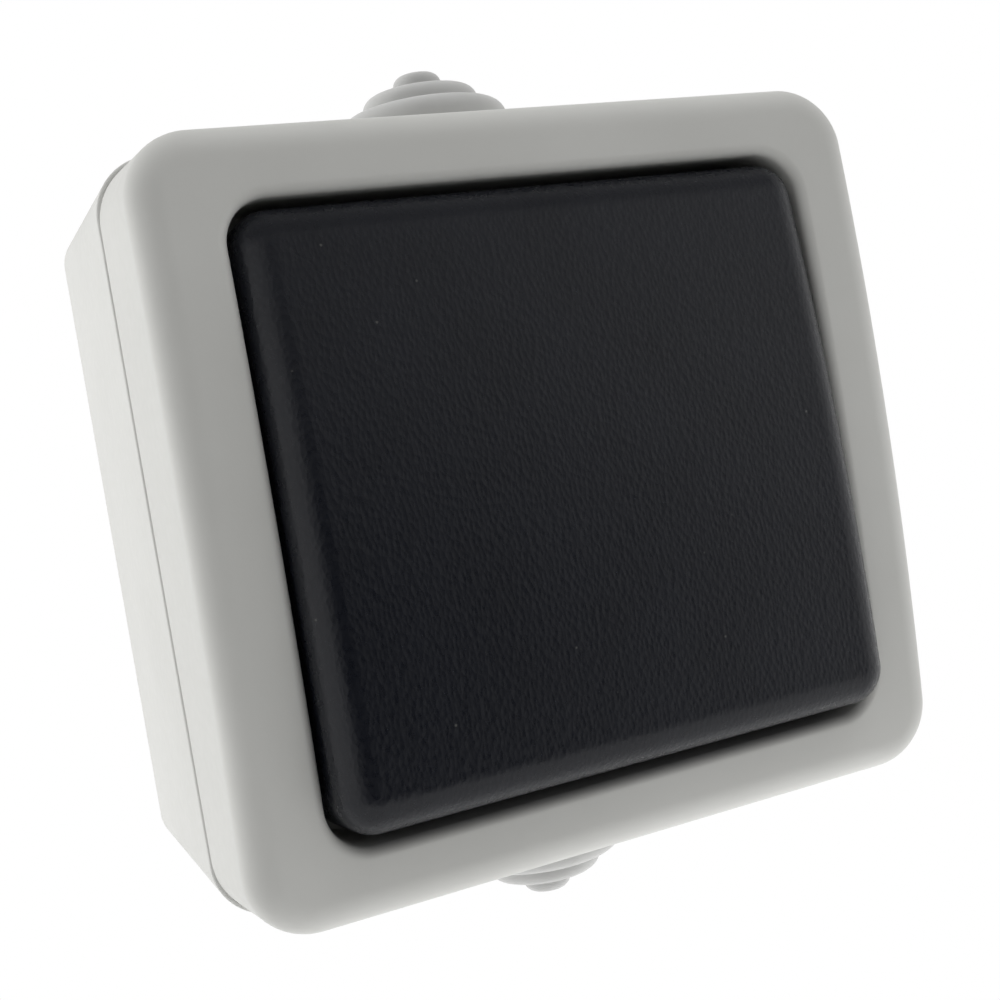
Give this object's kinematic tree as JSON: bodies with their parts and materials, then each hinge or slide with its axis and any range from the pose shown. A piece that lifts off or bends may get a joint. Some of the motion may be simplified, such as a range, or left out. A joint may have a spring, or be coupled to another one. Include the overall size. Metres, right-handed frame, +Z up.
{
  "type": "outdoor weatherproof switch",
  "caption": "Surface-mounted weatherproof light switch: tapered grey box, crowned frame, large black rocker and stepped rubber cable entries.",
  "frame": {"origin": "centre of the back face, on the wall", "axes": "+Y into the wall, so the front looks along -Y; +Z up; +X to the right seen from the front"},
  "size_m": [0.0808, 0.058, 0.096],
  "materials": {
    "housing_grey": "light grey moulded plastic, smooth satin",
    "rocker_black": "black moulded plastic, fine leather grain",
    "grommet_rubber": "grey soft rubber",
    "seal_rubber": "black soft rubber",
    "cradle_white": "white moulded plastic",
    "insulator_cream": "cream thermoset",
    "plated_steel": "zinc-plated steel",
    "contact_brass": "bright brass",
    "contact_silver": "silver contact face"
  },
  "bodies": {
    "housing": {"back_box": "housing_grey", "box_gasket": "seal_rubber", "front_cover": "housing_grey", "cover_screws": "plated_steel", "top_cable_grommet": "grommet_rubber", "bottom_cable_grommet": "grommet_rubber", "rocker_seal": "seal_rubber", "mechanism_base": "insulator_cream", "mechanism_frame": "insulator_cream", "mounting_strap": "plated_steel", "strap_screws": "plated_steel", "base_rivets": "plated_steel", "contact_pin": "plated_steel", "common_terminal": "contact_brass", "switched_terminal": "contact_brass", "fixed_contact_tip": "contact_silver", "terminal_screws": "plated_steel"},
    "button": {"rocker": "rocker_black", "cradle": "cradle_white", "plunger_spring": "plated_steel"},
    "toggle": {"plunger": "cradle_white"},
    "contact": {"contact_arm": "contact_brass", "moving_contact_tip": "contact_silver"}
  },
  "joints": [
    {"name": "rocker_tilt", "type": "hinge", "parent": "housing", "child": "button", "pos_m": [0, -0.0474, 0], "axis": [1, 0, 0], "range_deg": [0, 7.6]},
    {"name": "plunger_slide", "type": "slide", "parent": "button", "child": "toggle", "axis": [0, -0.9978, 0.0663], "range_m": [0, 0.0012], "stiffness_N_per_m": 250, "springref_m": -0.002, "deforming": ["plunger_spring"]},
    {"name": "contact_tilt", "type": "hinge", "parent": "housing", "child": "contact", "pos_m": [0, -0.0186, 0], "axis": [1, 0, 0], "range_deg": [-8.8, 0]}
  ],
  "couplings": [
    {"joint": "contact_tilt", "follows": "rocker_tilt", "ratio": -1.1579}
  ]
}
